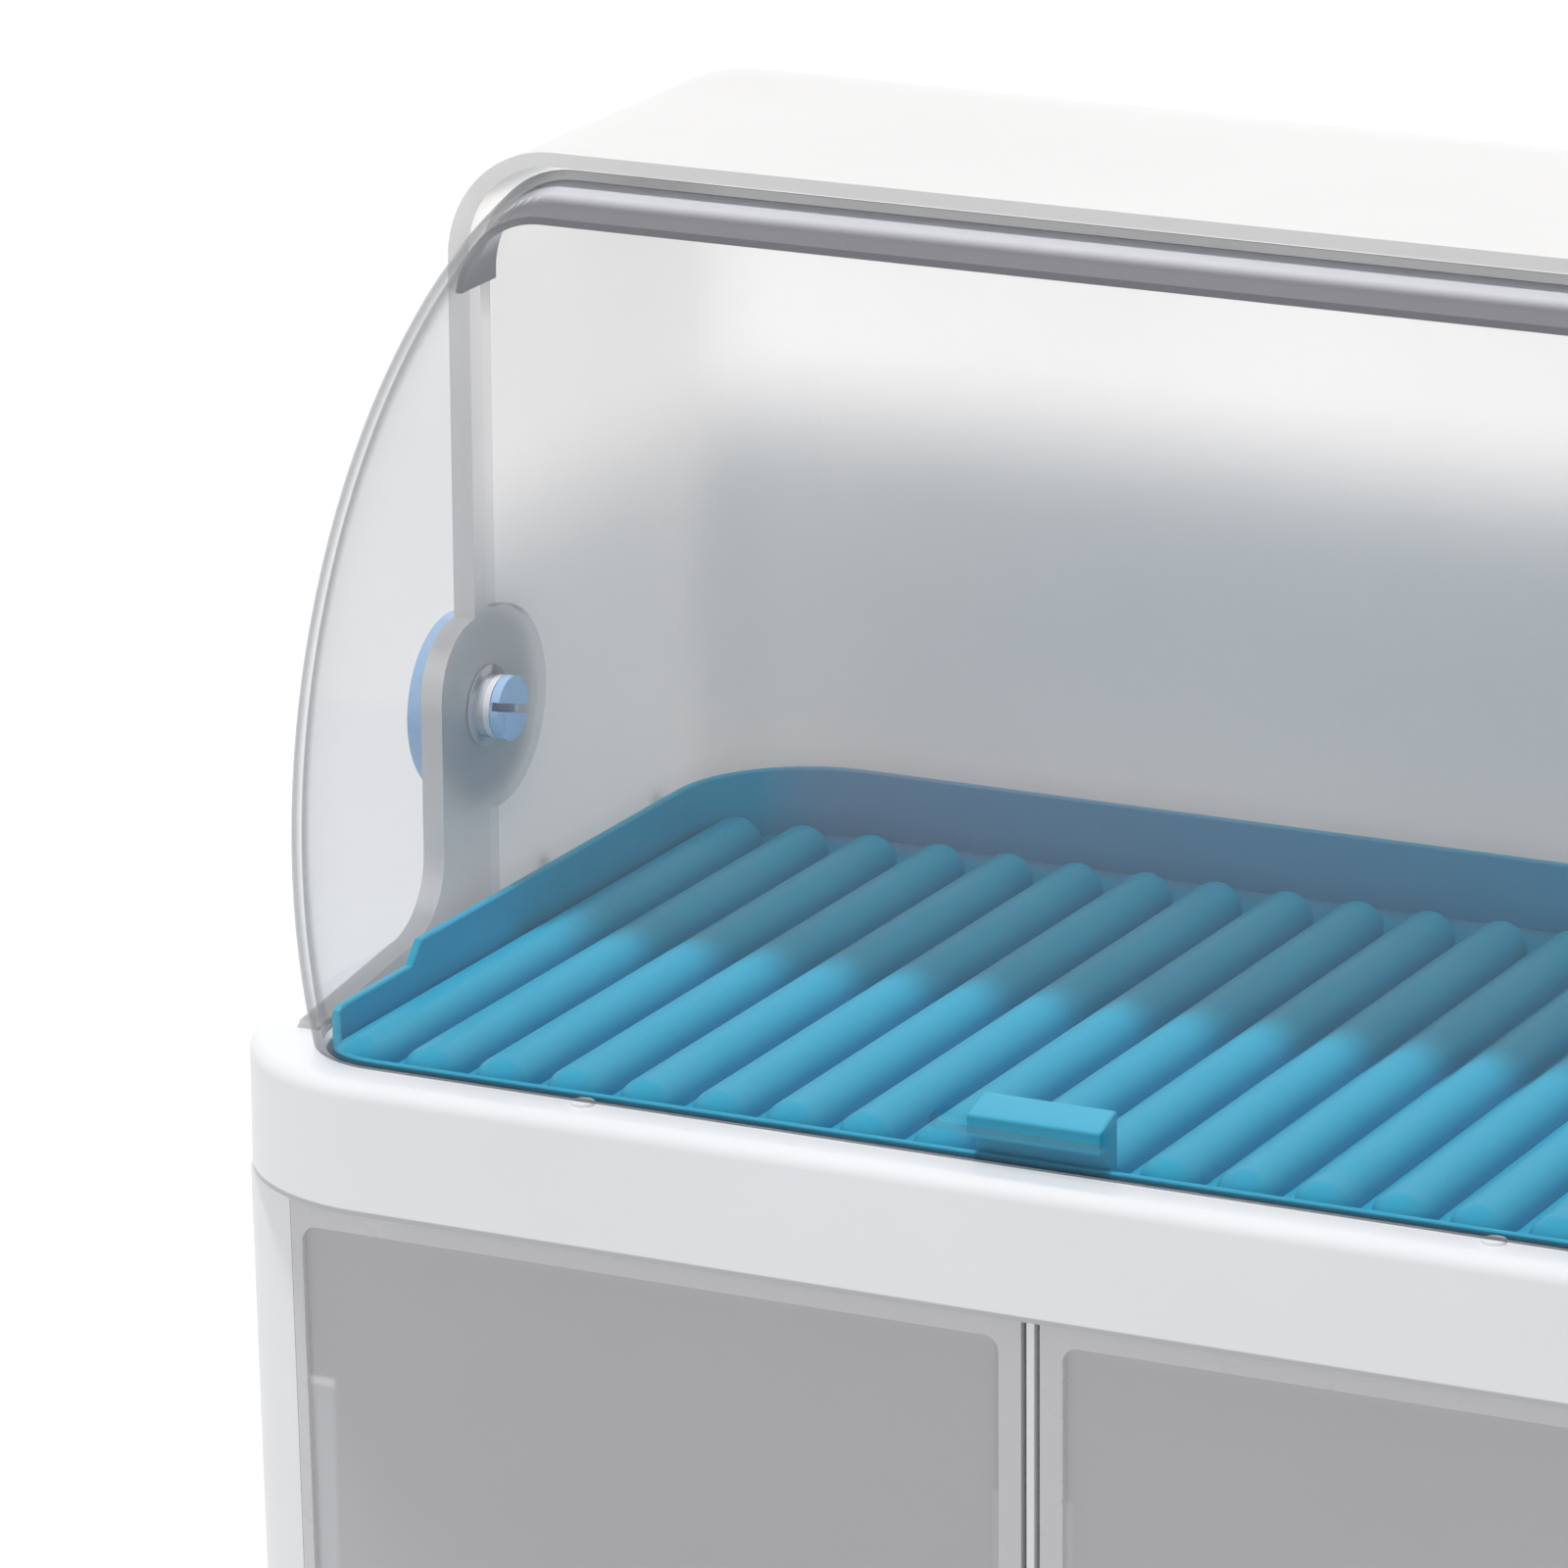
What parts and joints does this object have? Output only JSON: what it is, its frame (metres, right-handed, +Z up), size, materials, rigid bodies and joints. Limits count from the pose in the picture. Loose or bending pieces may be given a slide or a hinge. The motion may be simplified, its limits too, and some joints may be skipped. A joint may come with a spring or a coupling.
{
  "type": "cutlery storage cabinet",
  "caption": "Counter-top cutlery cabinet with side by side drawers, a ribbed draining tray and a clear roll-top cover that swings back under a rounded roof.",
  "frame": {"origin": "middle of the footprint on the surface that the feet stand on", "axes": "+X is the width, towards the right seen from the front; +Y runs from the front to the back; +Z is up"},
  "size_m": [0.456, 0.28, 0.427],
  "materials": {
    "white_shell": "satin gloss",
    "front_frame": "satin gloss",
    "window": "frosted, lets some light through",
    "pull": "satin gloss",
    "insert": "matt",
    "rail": "matt",
    "clear_cover": "clear gloss plastic",
    "edge_strip": "matt",
    "pivot_bush": "matt",
    "pivot_pin": "gloss",
    "tray": "gloss, lets some light through",
    "rest_pad": "soft",
    "foot": "matt",
    "screw": "brushed"
  },
  "bodies": {
    "cabinet": {"lower_cabinet": "white_shell", "centre_divider": "white_shell", "drawer_stop_pin": "rail", "top_frame": "white_shell", "roof_shell": "white_shell", "cover_rest_pads": "rest_pad", "left_pivot_pin": "pivot_pin", "right_pivot_pin": "pivot_pin", "frame_screws": "screw", "shell_screws": "screw", "foot_front_left": "foot", "foot_front_right": "foot", "foot_rear_left": "foot", "foot_rear_right": "foot", "left_inner_rail": "rail", "left_outer_rail": "rail", "right_inner_rail": "rail", "right_outer_rail": "rail"},
    "cover": {"clear_cover": "clear_cover", "cover_edge_strip": "edge_strip", "left_pivot_bush": "pivot_bush", "right_pivot_bush": "pivot_bush"},
    "tray": {"draining_tray": "tray"},
    "left_drawer": {"left_drawer_box": "white_shell", "left_drawer_front_frame": "front_frame", "left_drawer_window": "window", "left_drawer_pull": "pull", "left_pull_screws": "screw", "left_cutlery_insert": "insert"},
    "right_drawer": {"right_drawer_box": "white_shell", "right_drawer_front_frame": "front_frame", "right_drawer_window": "window", "right_drawer_pull": "pull", "right_pull_screws": "screw", "right_cutlery_insert": "insert"}
  },
  "joints": [
    {"name": "cover_hinge", "type": "hinge", "parent": "cabinet", "child": "cover", "pos_m": [0, -0.0145, 0.279], "axis": [-1, 0, 0], "range_deg": [0, 90]},
    {"name": "tray_lift", "type": "slide", "parent": "cabinet", "child": "tray", "axis": [0, 0, 1], "range_m": [0, 0.03]},
    {"name": "left_drawer_slide", "type": "slide", "parent": "cabinet", "child": "left_drawer", "axis": [0, -1, 0], "range_m": [0, 0.19]},
    {"name": "right_drawer_slide", "type": "slide", "parent": "cabinet", "child": "right_drawer", "axis": [0, -1, 0], "range_m": [0, 0.19]}
  ]
}
